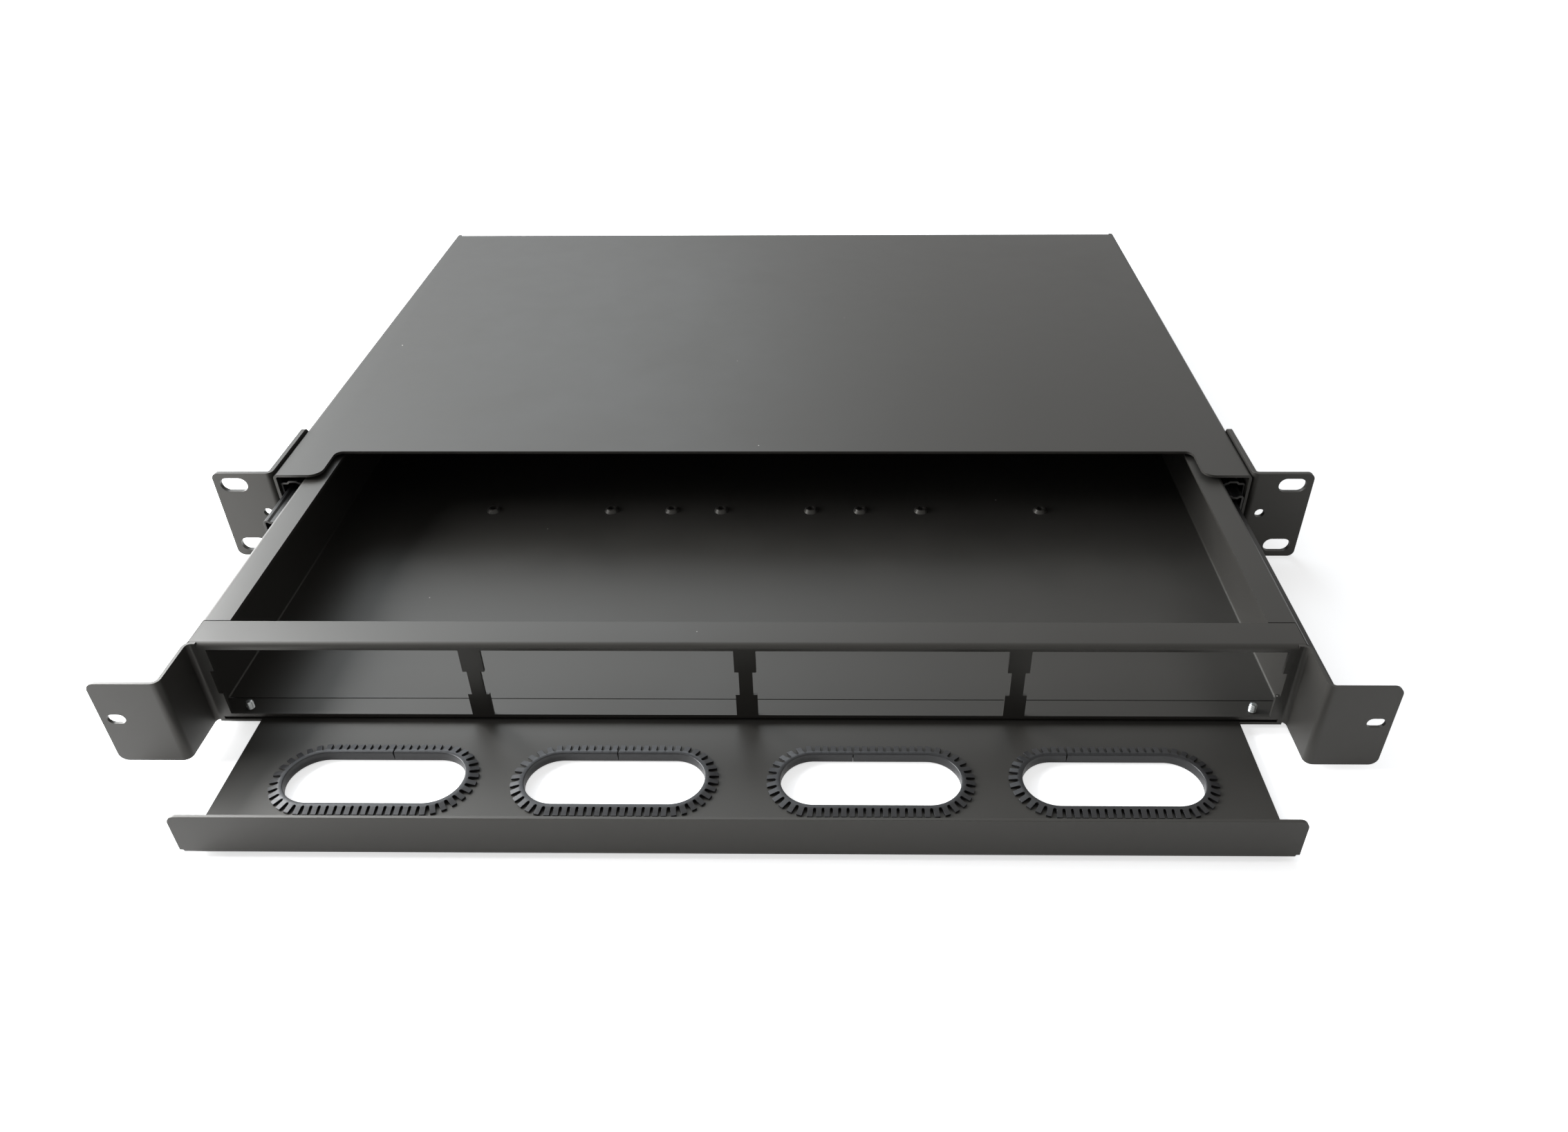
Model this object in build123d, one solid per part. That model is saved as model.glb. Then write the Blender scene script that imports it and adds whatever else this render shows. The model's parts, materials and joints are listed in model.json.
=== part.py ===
"""Sliding fibre patch panel for a 19 inch rack, one unit high.

Millimetres. X is to the right, Y to the rear and Z up. The origin is the centre of the four rack slots,
on the rear faces of the rack ears, which seat on the rack's rails. The drawer is modelled part-way open.
"""

import math
import os

from build123d import *

# Rack interface
EAR_SPAN = 482.6
EAR_HEIGHT = 43.6
EAR_THICKNESS = 2.0
EAR_BEND_OUTER = 3.0
EAR_CORNER = 2.9
EAR_FLANGE_REACH = 40.0
SLOT_SPACING_X = 465.1
SLOT_SPACING_Z = 31.75
SLOT_LENGTH = 12.0
SLOT_WIDTH = 6.8
LOCK_HOLE_X = 221.2
LOCK_HOLE_Z = 1.4
LOCK_HOLE_DIAMETER = 4.2

# Sheet steel
SHEET = 1.2
FIT_GAP = 0.2
SEAM_GAP = 0.3
BEND_OUTER = 2.0
SOFT_BEND_OUTER = 3.0
SOFT_BEND_INNER = SOFT_BEND_OUTER - SHEET

# Housing
HOUSING_WIDTH = 428.8
HOUSING_DEPTH = 300.0
HOUSING_FRONT = -1.5
HOUSING_TOP = 20.8
HOUSING_BOTTOM = -21.6
NOTCH_WIDTH = 387.0
NOTCH_DEPTH = 20.5
NOTCH_OUTER_RADIUS = 5.5
NOTCH_INNER_RADIUS = 3.5
COVER_FOOT_WIDTH = 10.0
COVER_REAR_LIP = 9.0
REAR_TAB_REACH = 14.0
REAR_TAB_HALF_HEIGHT = 16.0

# Drawer
DRAWER_OPEN = 131.0
DRAWER_GAP_WHEN_SHUT = 0.3
DRAWER_WIDTH = 404.6
DRAWER_TOP = 18.0
DRAWER_BOTTOM = -18.9
DRAWER_DEPTH = 245.0
DRAWER_EAR_SPAN = 453.6
DRAWER_EAR_CORNER = 3.2
DRAWER_EAR_AHEAD_OF_PANEL = 21.5
LOCK_SLOT_LENGTH = 6.6
LOCK_SLOT_WIDTH = 4.2
SIDE_FLANGE_WIDTH = 11.3
PANEL_TOP_DEPTH = 13.2
PANEL_FOOT_DEPTH = 10.2
FLANGE_JOINT = 0.4

# Adapter openings in the front panel
OPENING_COUNT = 4
OPENING_WIDTH = 91.5
OPENING_HEIGHT = 31.3
OPENING_PITCH = 99.5
LATCH_NOTCH_HEIGHT = 11.0
LATCH_NOTCH_DEPTH = 1.5

# Cable plate
PLATE_HALF_WIDTH = 184.2
PLATE_STRIP_HALF_WIDTH = 200.0
PLATE_STRIP_DEPTH = 24.0
PLATE_REACH = 63.0
LIP_HALF_WIDTH = 185.4
LIP_HEIGHT = 17.9
LIP_CORNER = 3.1
LIP_RELIEF = 1.6
PLATE_SCREW_X = 190.1
PLATE_SCREW_BEHIND_PANEL = 5.2
PLATE_SCREW_TIP = 4.0
PLATE_SCREW_CHAMFER = 0.4

# Long cable openings and their castellated edging
CABLE_OPENING_X = (-131.0, -45.4, 45.4, 131.0)
CABLE_OPENING_AHEAD_OF_PANEL = 30.6
CABLE_OPENING_LENGTH = 64.0
CABLE_OPENING_WIDTH = 23.8
EDGING_WALL = 0.8
EDGING_FLANGE = 1.4
EDGING_BAND = 0.7
EDGING_TOOTH_LENGTH = 3.4
EDGING_PITCH = 2.86
EDGING_GAP = 1.05
EDGING_JOINT_X = (3.0, -0.7, -6.1, -14.5)
EDGING_JOINT_GAP = 0.35

# Raised bosses in the drawer floor
BOSS_X = (21.4, 45.0, 73.9, 130.5)
BOSS_BEHIND_PANEL = 141.9
BOSS_BASE_RADIUS = 3.4
BOSS_TOP_RADIUS = 2.4
BOSS_HEIGHT = 1.6
BOSS_HOLE_RADIUS = 1.5
BOSS_SIDES = 16

# Drawer rear wall
REAR_SLOT_X = 120.0
REAR_SLOT_LENGTH = 64.0
REAR_SLOT_HEIGHT = 20.0

# Ball-bearing slides. U is measured from the housing wall inwards and V from mid-height
SLIDE_SHEET = 1.0
SLIDE_BEND = 1.4
SLIDE_SPACE = (HOUSING_WIDTH - DRAWER_WIDTH) / 2 - SHEET
OUTER_MEMBER = [(9.8, 13.9), (9.8, 15.6), (8.2, 15.6), (7.4, 16.4), (3.8, 16.4), (3.0, 15.6), (0.0, 15.6)]
MIDDLE_MEMBER = [(8.8, 12.4), (7.3, 12.4), (6.4, 11.7), (4.8, 11.7), (3.9, 12.4), (1.8, 12.4)]
INNER_MEMBER = [(3.9, 8.4), (SLIDE_SPACE, 8.4)]
TRACK_U = 5.6
OUTER_BALL_RADIUS = 1.75
OUTER_BALL_V = 13.55
INNER_BALL_RADIUS = 1.05
INNER_BALL_V = 9.55
CAGE_SHEET = 0.4
OUTER_CAGE = [(7.6, OUTER_BALL_V + CAGE_SHEET / 2), (1.25, OUTER_BALL_V + CAGE_SHEET / 2)]
INNER_CAGE = [(8.0, INNER_BALL_V + CAGE_SHEET / 2), (3.2, INNER_BALL_V + CAGE_SHEET / 2)]
CAGE_BEND = 0.8
CAGE_WINDOW_CLEARANCE = 0.2
OUTER_START, OUTER_LENGTH = 0.5, 250.0
MIDDLE_LENGTH = 200.0
MIDDLE_START_LEFT = -25.0
MIDDLE_START_RIGHT = -5.0
INNER_BEHIND_EAR = 2.3
INNER_LENGTH = 248.0
OUTER_CAGE_START, OUTER_CAGE_LENGTH = 30.0, 70.0
INNER_CAGE_START, INNER_CAGE_LENGTH = 25.0, 60.0
BALLS_IN_A_ROW = 3
ACCESS_HOLE_RADIUS = 4.0
ACCESS_HOLE_SIDES = 12
ACCESS_HOLE_PLACES = (0.2, 0.5, 0.8)

# Fasteners. Small screws and rivets, and the holes that take them, have eight sides, which keeps them light
FASTENER_SIDES = 8
RIVET_RADIUS = 2.0
RIVET_HEAD_RADIUS = 3.6
RIVET_HEAD_HEIGHT = 1.2
HOUSING_RIVET_Y = (66.0, 222.0)
DRAWER_RIVET_Y = (-90.0, 92.0)
SCREW_RADIUS = 1.5
SCREW_HEAD_RADIUS = 2.7
EAR_SCREW_RADIUS = 2.0
EAR_SCREW_HEAD_RADIUS = 3.8
EAR_SCREW_Y = 22.0
EAR_SCREW_Z = 12.0
BASE_SCREW_Y = (52.0, 250.0)
REAR_SCREW_X = (-110.0, 110.0)
REAR_SCREW_Z = 15.2
REAR_SCREW_TIP = 1.5
HOLE_CLEARANCE = 0.1

# Rear cable entries
ENTRY_X = (-165.0, 165.0)
ENTRY_Z = -3.0
ENTRY_HOLE_RADIUS = 11.0
ENTRY_BORE_RADIUS = 8.0
GROMMET_RADIUS = 13.0
GROMMET_LENGTH = 6.0
GROMMET_SIDES = 24

# How far a cut runs past the sheet that it cuts
PAST = 3.0

# Places worked out from the dimensions above
WALL_OUTER_X = HOUSING_WIDTH / 2
WALL_INNER_X = WALL_OUTER_X - SHEET
HOUSING_REAR = HOUSING_FRONT + HOUSING_DEPTH
BASE_REAR = HOUSING_REAR - SHEET
BASE_FLOOR = HOUSING_BOTTOM + SHEET
DRAWER_X = DRAWER_WIDTH / 2
DRAWER_INNER_X = DRAWER_X - SHEET
DRAWER_EAR_FRONT = -EAR_THICKNESS - DRAWER_GAP_WHEN_SHUT - SHEET - DRAWER_OPEN
PANEL_Y = DRAWER_EAR_FRONT + DRAWER_EAR_AHEAD_OF_PANEL
TOP_JOINT_Y = PANEL_Y + PANEL_TOP_DEPTH
FLOOR_JOINT_Y = PANEL_Y + PANEL_FOOT_DEPTH
TRAY_REAR = PANEL_Y + DRAWER_DEPTH
PANEL_MIDDLE_Z = (DRAWER_TOP + DRAWER_BOTTOM) / 2
PLATE_BOTTOM = DRAWER_BOTTOM - SHEET
CABLE_OPENING_Y = PANEL_Y - CABLE_OPENING_AHEAD_OF_PANEL
INNER_START = DRAWER_EAR_FRONT + SHEET + INNER_BEHIND_EAR
DRAWER_HEIGHTS = (DRAWER_BOTTOM - PAST, DRAWER_TOP + PAST)


def block(x_range, y_range, z_range):
    """Box between two limits along each axis."""
    size = [high - low for low, high in (x_range, y_range, z_range)]
    middle = [(low + high) / 2 for low, high in (x_range, y_range, z_range)]
    return Pos(*middle) * Box(*size)


def rod(axis, radius, start, end, first, second, sides=None):
    """Bar along X, Y or Z, round or with flat sides. Its last two places are on the other two axes."""
    middle = (start + end) / 2
    section = RegularPolygon(radius, sides) if sides else Circle(radius)
    body = extrude(section, abs(end - start) / 2, both=True)
    if axis == "x":
        return Pos(middle, first, second) * Rot(0, 90, 0) * body
    if axis == "y":
        return Pos(first, middle, second) * Rot(90, 0, 0) * body
    return Pos(first, second, middle) * body


def tapered(low_radius, high_radius, low, high, sides):
    """Tapered bar along Z with flat sides."""
    ends = [RegularPolygon(low_radius, sides), RegularPolygon(high_radius, sides)]
    return loft([Pos(0, 0, z) * end for z, end in zip((low, high), ends)], ruled=True)


def sheet_section(points, radii, turned=1, thickness=SHEET):
    """Face of a bent sheet between a line with rounded corners and its parallel.

    The sheet lies to the right of the line as it is followed, or to the left where turned is -1. Radii are
    the line's own, one for each corner or the same for all. The parallel's differ by the thickness.
    """
    if not isinstance(radii, list):
        radii = [radii] * (len(points) - 2)
    corners = [Vector(*point) for point in points]
    runs = [(b - a).normalized() for a, b in zip(corners, corners[1:])]
    sideways = [turned * thickness * Vector(run.Y, -run.X) for run in runs]
    moved = [corners[0] + sideways[0]]
    moved_radii = []
    for corner, radius, before, after in zip(corners[1:-1], radii, sideways, sideways[1:]):
        moved.append(corner + (before + after) / (1 + before.dot(after) / thickness**2))
        towards_sheet = turned * (before.X * after.Y - before.Y * after.X) < 0
        moved_radii.append(radius - thickness if towards_sheet else radius + thickness)
        if radius == 0:
            moved_radii[-1] = 0
    moved.append(corners[-1] + sideways[-1])
    line = FilletPolyline(*corners, radius=radii)
    parallel = FilletPolyline(*moved, radius=moved_radii)
    ends = [Line(line @ 0, parallel @ 0), Line(line @ 1, parallel @ 1)]
    return make_face([*line.edges(), *parallel.edges(), *ends])


def along_y(section, start, end):
    """Carry a section drawn in X and Z from one Y to another."""
    return extrude(Plane.XZ.offset(-start) * section, -(end - start))


def along_x(section, half_width):
    """Carry a section drawn in Y and Z to the same distance on both sides."""
    return extrude(Plane.YZ.offset(-half_width) * section, 2 * half_width)


def along_z(section, low, high):
    """Carry a section drawn in X and Y from one height to another."""
    return extrude(Plane.XY.offset(low) * section, high - low)


def other_hand(shape):
    """The same shape on the left side."""
    return mirror(shape, about=Plane.YZ)


def front_notch():
    """Wide cut in a housing sheet's front edge: rounded inner corners, and mouth corners that flare out."""
    half = NOTCH_WIDTH / 2
    rear = HOUSING_FRONT + NOTCH_DEPTH
    flare = NOTCH_OUTER_RADIUS
    mouth = HOUSING_FRONT
    outline = FilletPolyline(
        (-half - 3 * flare, mouth - PAST),
        (-half - 3 * flare, mouth),
        (-half, mouth),
        (-half, rear),
        (half, rear),
        (half, mouth),
        (half + 3 * flare, mouth),
        (half + 3 * flare, mouth - PAST),
        radius=[0, flare, NOTCH_INNER_RADIUS, NOTCH_INNER_RADIUS, flare, 0],
    )
    closing = Line(outline @ 1, outline @ 0)
    return make_face([*outline.edges(), closing])


def countersunk(head_radius, shank_radius, length):
    """Countersunk screw along -Z: the top of its head is at the origin and its sides slope at 45 degrees."""
    head_height = head_radius - shank_radius
    head = tapered(shank_radius, head_radius, -head_height, 0, FASTENER_SIDES)
    return head + rod("z", shank_radius, -length, -head_height, 0, 0, FASTENER_SIDES)


def rivet(length):
    """Low-head rivet along -Z: the underside of its head is at the origin."""
    head = rod("z", RIVET_HEAD_RADIUS, 0, RIVET_HEAD_HEIGHT, 0, 0, FASTENER_SIDES)
    return head + rod("z", RIVET_RADIUS, -length, 0, 0, 0, FASTENER_SIDES)


def wall_holes(radius, y, z):
    """A fastener's hole in both side walls of the housing."""
    right = rod("x", radius, WALL_INNER_X - PAST, WALL_OUTER_X + PAST, y, z, FASTENER_SIDES)
    return [right, other_hand(right)]


def base_screw_places():
    """X and Y of the screws under the base, in the cover's feet."""
    x = WALL_INNER_X - COVER_FOOT_WIDTH / 2
    return [(side * x, y) for side in (-1, 1) for y in BASE_SCREW_Y]


def make_top_cover():
    """Lid and side walls in one sheet, with feet turned in below and a lip turned down at the rear."""
    foot = WALL_OUTER_X - COVER_FOOT_WIDTH
    outer = [
        (-foot, BASE_FLOOR),
        (-WALL_OUTER_X, BASE_FLOOR),
        (-WALL_OUTER_X, HOUSING_TOP),
        (WALL_OUTER_X, HOUSING_TOP),
        (WALL_OUTER_X, BASE_FLOOR),
        (foot, BASE_FLOOR),
    ]
    cover = along_y(sheet_section(outer, BEND_OUTER), HOUSING_FRONT, HOUSING_REAR)
    lip_half = WALL_INNER_X - BEND_OUTER
    lip_bottom = HOUSING_TOP - COVER_REAR_LIP
    rear_edge = (HOUSING_REAR - BEND_OUTER, HOUSING_REAR + PAST)
    cover -= block((-lip_half, lip_half), rear_edge, (lip_bottom, HOUSING_TOP + PAST))
    lip = [
        (HOUSING_REAR - 2 * BEND_OUTER, HOUSING_TOP),
        (HOUSING_REAR, HOUSING_TOP),
        (HOUSING_REAR, lip_bottom),
    ]
    cover += along_x(sheet_section(lip, BEND_OUTER), lip_half)
    foot_end = BASE_REAR - BEND_OUTER - SHEET
    cover -= block(
        (-WALL_INNER_X, WALL_INNER_X),
        (foot_end, HOUSING_REAR + PAST),
        (HOUSING_BOTTOM, BASE_FLOOR + BEND_OUTER),
    )
    cover -= along_z(front_notch(), 0, HOUSING_TOP + PAST)
    hole = RIVET_RADIUS + HOLE_CLEARANCE
    for y in HOUSING_RIVET_Y:
        cover -= wall_holes(hole, y, 0)
    hole = EAR_SCREW_RADIUS + HOLE_CLEARANCE
    for z in (-EAR_SCREW_Z, EAR_SCREW_Z):
        cover -= wall_holes(hole, EAR_SCREW_Y, z)
    hole = SCREW_RADIUS + HOLE_CLEARANCE
    for x, y in base_screw_places():
        cover -= rod("z", hole, BASE_FLOOR - PAST, BASE_FLOOR + PAST, x, y, FASTENER_SIDES)
    for x in REAR_SCREW_X:
        cut = Rot(-90, 0, 0) * countersunk(SCREW_HEAD_RADIUS + HOLE_CLEARANCE, hole, PAST)
        cover -= Pos(x, HOUSING_REAR, REAR_SCREW_Z) * cut
    return cover


def make_base_pan():
    """Bottom sheet with the same front notch, the rear wall with its cable entries, and two side tabs."""
    wall_top = HOUSING_TOP - BEND_OUTER - SEAM_GAP
    outer = [(HOUSING_FRONT, HOUSING_BOTTOM), (BASE_REAR, HOUSING_BOTTOM), (BASE_REAR, wall_top)]
    pan = along_x(sheet_section(outer, BEND_OUTER, turned=-1), WALL_OUTER_X)
    wall_half = WALL_INNER_X - FIT_GAP
    tab_bend = wall_half - BEND_OUTER
    for low, high in ((-WALL_OUTER_X, -tab_bend), (tab_bend, WALL_OUTER_X)):
        pan -= block((low, high), (BASE_REAR - PAST, BASE_REAR + PAST), (BASE_FLOOR, HOUSING_TOP))
    tabs = [
        (-wall_half, BASE_REAR - REAR_TAB_REACH),
        (-wall_half, BASE_REAR),
        (wall_half, BASE_REAR),
        (wall_half, BASE_REAR - REAR_TAB_REACH),
    ]
    pan += along_z(sheet_section(tabs, BEND_OUTER), -REAR_TAB_HALF_HEIGHT, REAR_TAB_HALF_HEIGHT)
    pan -= along_z(front_notch(), HOUSING_BOTTOM - PAST, 0)
    through_wall = (BASE_REAR - PAST, BASE_REAR + PAST)
    for x in ENTRY_X:
        pan -= rod("y", ENTRY_HOLE_RADIUS, *through_wall, x, ENTRY_Z, GROMMET_SIDES)
    hole = SCREW_RADIUS + HOLE_CLEARANCE
    for x in REAR_SCREW_X:
        pan -= rod("y", hole, *through_wall, x, REAR_SCREW_Z, FASTENER_SIDES)
    for x, y in base_screw_places():
        cut = Rot(180, 0, 0) * countersunk(SCREW_HEAD_RADIUS + HOLE_CLEARANCE, hole, PAST)
        pan -= Pos(x, y, HOUSING_BOTTOM) * cut
    return pan


def make_rack_ear():
    """Right-hand L bracket: the ear faces the rack rail and its flange lies on the housing's side wall."""
    half_span = EAR_SPAN / 2
    half_height = EAR_HEIGHT / 2
    outer = [
        (half_span, -EAR_THICKNESS),
        (WALL_OUTER_X, -EAR_THICKNESS),
        (WALL_OUTER_X, EAR_FLANGE_REACH),
    ]
    section = sheet_section(outer, EAR_BEND_OUTER, thickness=EAR_THICKNESS)
    ear = along_z(section, -half_height, half_height)
    tip_edges = ear.edges().filter_by(Axis.Y).group_by(Axis.X)[-1]
    ear = fillet(tip_edges, EAR_CORNER)
    rear_edges = ear.edges().filter_by(Axis.X).group_by(Axis.Y)[-1]
    ear = fillet(rear_edges, EAR_CORNER)
    slot = Rot(90, 0, 0) * extrude(SlotOverall(SLOT_LENGTH, SLOT_WIDTH), PAST, both=True)
    for z in (-SLOT_SPACING_Z / 2, SLOT_SPACING_Z / 2):
        ear -= Pos(SLOT_SPACING_X / 2, 0, z) * slot
    ear -= rod("y", LOCK_HOLE_DIAMETER / 2, -PAST, PAST, LOCK_HOLE_X, LOCK_HOLE_Z)
    cut = Rot(0, 90, 0) * countersunk(
        EAR_SCREW_HEAD_RADIUS + HOLE_CLEARANCE,
        EAR_SCREW_RADIUS + HOLE_CLEARANCE,
        EAR_THICKNESS + PAST,
    )
    for z in (-EAR_SCREW_Z, EAR_SCREW_Z):
        ear -= Pos(WALL_OUTER_X + EAR_THICKNESS, EAR_SCREW_Y, z) * cut
    return ear


def make_ear_screws():
    """Four countersunk screws through the ears' flanges, flush inside the side walls."""
    screw = Rot(0, 90, 0) * countersunk(EAR_SCREW_HEAD_RADIUS, EAR_SCREW_RADIUS, EAR_THICKNESS + SHEET)
    x = WALL_OUTER_X + EAR_THICKNESS
    right = [Pos(x, EAR_SCREW_Y, z) * screw for z in (-EAR_SCREW_Z, EAR_SCREW_Z)]
    return Compound(right + [other_hand(one) for one in right])


def make_base_screws():
    """Four countersunk screws up through the base into the cover's feet."""
    screw = Rot(180, 0, 0) * countersunk(SCREW_HEAD_RADIUS, SCREW_RADIUS, 2 * SHEET)
    return Compound([Pos(x, y, HOUSING_BOTTOM) * screw for x, y in base_screw_places()])


def make_rear_screws():
    """Two countersunk screws through the cover's rear lip into the rear wall."""
    screw = Rot(-90, 0, 0) * countersunk(SCREW_HEAD_RADIUS, SCREW_RADIUS, 2 * SHEET + REAR_SCREW_TIP)
    return Compound([Pos(x, HOUSING_REAR, REAR_SCREW_Z) * screw for x in REAR_SCREW_X])


def make_cable_grommet(x):
    """Rubber ring in a rear cable entry: a grooved ring, with a round bore, that grips the wall's edge."""
    half = GROMMET_LENGTH / 2
    groove = SHEET / 2
    ring = rod("y", ENTRY_HOLE_RADIUS, -half, half, 0, 0, GROMMET_SIDES)
    ring += rod("y", GROMMET_RADIUS, -half, -groove, 0, 0, GROMMET_SIDES)
    ring += rod("y", GROMMET_RADIUS, groove, half, 0, 0, GROMMET_SIDES)
    ring -= rod("y", ENTRY_BORE_RADIUS, -half - PAST, half + PAST, 0, 0)
    return Pos(x, BASE_REAR - groove, ENTRY_Z) * ring


def make_front_panel():
    """One sheet: a C-shaped panel whose ends fold forward and then out into the drawer's ears."""
    ear_x = DRAWER_EAR_SPAN / 2
    front = [
        (-ear_x, DRAWER_EAR_FRONT),
        (-DRAWER_INNER_X, DRAWER_EAR_FRONT),
        (-DRAWER_INNER_X, PANEL_Y),
        (DRAWER_INNER_X, PANEL_Y),
        (DRAWER_INNER_X, DRAWER_EAR_FRONT),
        (ear_x, DRAWER_EAR_FRONT),
    ]
    radii = [SOFT_BEND_OUTER, SOFT_BEND_INNER, SOFT_BEND_INNER, SOFT_BEND_OUTER]
    panel = along_z(sheet_section(front, radii, turned=-1), DRAWER_BOTTOM, DRAWER_TOP)
    for face in (Axis.X, -Axis.X):
        tips = panel.edges().filter_by(Axis.Y).group_by(face)[-1]
        panel = fillet(tips, DRAWER_EAR_CORNER)
    channel_half = DRAWER_INNER_X - SOFT_BEND_OUTER
    panel -= block((-channel_half, channel_half), (PANEL_Y - PAST, PANEL_Y + PAST), DRAWER_HEIGHTS)
    channel = [
        (TOP_JOINT_Y, DRAWER_TOP),
        (PANEL_Y, DRAWER_TOP),
        (PANEL_Y, DRAWER_BOTTOM),
        (FLOOR_JOINT_Y, DRAWER_BOTTOM),
    ]
    panel += along_x(sheet_section(channel, BEND_OUTER, turned=-1), DRAWER_INNER_X - SEAM_GAP)
    middle = OPENING_PITCH * (OPENING_COUNT - 1) / 2
    for index in range(OPENING_COUNT):
        x = index * OPENING_PITCH - middle
        half = OPENING_WIDTH / 2
        opening = Rectangle(OPENING_WIDTH, OPENING_HEIGHT)
        notches = Rectangle(OPENING_WIDTH + 2 * LATCH_NOTCH_DEPTH, LATCH_NOTCH_HEIGHT)
        cut = extrude(opening + notches, PAST, both=True)
        panel -= Pos(x, PANEL_Y, PANEL_MIDDLE_Z) * Rot(90, 0, 0) * cut
    slot = Rot(90, 0, 0) * extrude(SlotOverall(LOCK_SLOT_LENGTH, LOCK_SLOT_WIDTH), PAST, both=True)
    foot = (DRAWER_BOTTOM - PAST, DRAWER_BOTTOM + PAST)
    screw_y = PANEL_Y + PLATE_SCREW_BEHIND_PANEL
    hole = SCREW_RADIUS + HOLE_CLEARANCE
    for side in (-1, 1):
        panel -= Pos(side * LOCK_HOLE_X, DRAWER_EAR_FRONT, LOCK_HOLE_Z) * slot
        panel -= rod("z", hole, *foot, side * PLATE_SCREW_X, screw_y, FASTENER_SIDES)
    return panel


def make_drawer_tray():
    """Floor, side walls with flanges turned in at the top, and a rear wall with two cable slots."""
    flange = DRAWER_X - SIDE_FLANGE_WIDTH
    outer = [
        (-flange, DRAWER_TOP),
        (-DRAWER_X, DRAWER_TOP),
        (-DRAWER_X, DRAWER_BOTTOM),
        (DRAWER_X, DRAWER_BOTTOM),
        (DRAWER_X, DRAWER_TOP),
        (flange, DRAWER_TOP),
    ]
    front = PANEL_Y + SHEET + FIT_GAP
    tray = along_y(sheet_section(outer, BEND_OUTER, turned=-1), front, TRAY_REAR)
    for joint_y, heights in ((TOP_JOINT_Y, (0, DRAWER_HEIGHTS[1])), (FLOOR_JOINT_Y, (DRAWER_HEIGHTS[0], 0))):
        tray -= block((-DRAWER_INNER_X, DRAWER_INNER_X), (front - PAST, joint_y + FLANGE_JOINT), heights)
    wall_half = DRAWER_INNER_X - SEAM_GAP
    tray -= block((-wall_half, wall_half), (TRAY_REAR - BEND_OUTER, TRAY_REAR + PAST), DRAWER_HEIGHTS)
    wall_top = DRAWER_TOP - SHEET - SEAM_GAP
    rear = [
        (TRAY_REAR - 2 * BEND_OUTER, DRAWER_BOTTOM),
        (TRAY_REAR, DRAWER_BOTTOM),
        (TRAY_REAR, wall_top),
        (TRAY_REAR - SIDE_FLANGE_WIDTH, wall_top),
    ]
    tray += along_x(sheet_section(rear, BEND_OUTER, turned=-1), wall_half)
    slot = Rot(90, 0, 0) * extrude(SlotOverall(REAR_SLOT_LENGTH, REAR_SLOT_HEIGHT), PAST, both=True)
    for side in (-1, 1):
        tray -= Pos(side * REAR_SLOT_X, TRAY_REAR, PANEL_MIDDLE_Z) * slot
    floor_top = DRAWER_BOTTOM + SHEET
    boss_y = PANEL_Y + BOSS_BEHIND_PANEL
    boss_heights = (DRAWER_BOTTOM - PAST, floor_top + BOSS_HEIGHT + PAST)
    boss = tapered(BOSS_BASE_RADIUS, BOSS_TOP_RADIUS, floor_top, floor_top + BOSS_HEIGHT, BOSS_SIDES)
    for x in BOSS_X:
        for side in (-1, 1):
            tray += Pos(side * x, boss_y, 0) * boss
            tray -= rod("z", BOSS_HOLE_RADIUS, *boss_heights, side * x, boss_y)
    radius = RIVET_RADIUS + HOLE_CLEARANCE
    for y in DRAWER_RIVET_Y:
        hole = rod("x", radius, DRAWER_INNER_X - PAST, DRAWER_X + PAST, y, 0, FASTENER_SIDES)
        tray -= [hole, other_hand(hole)]
    return tray


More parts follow.
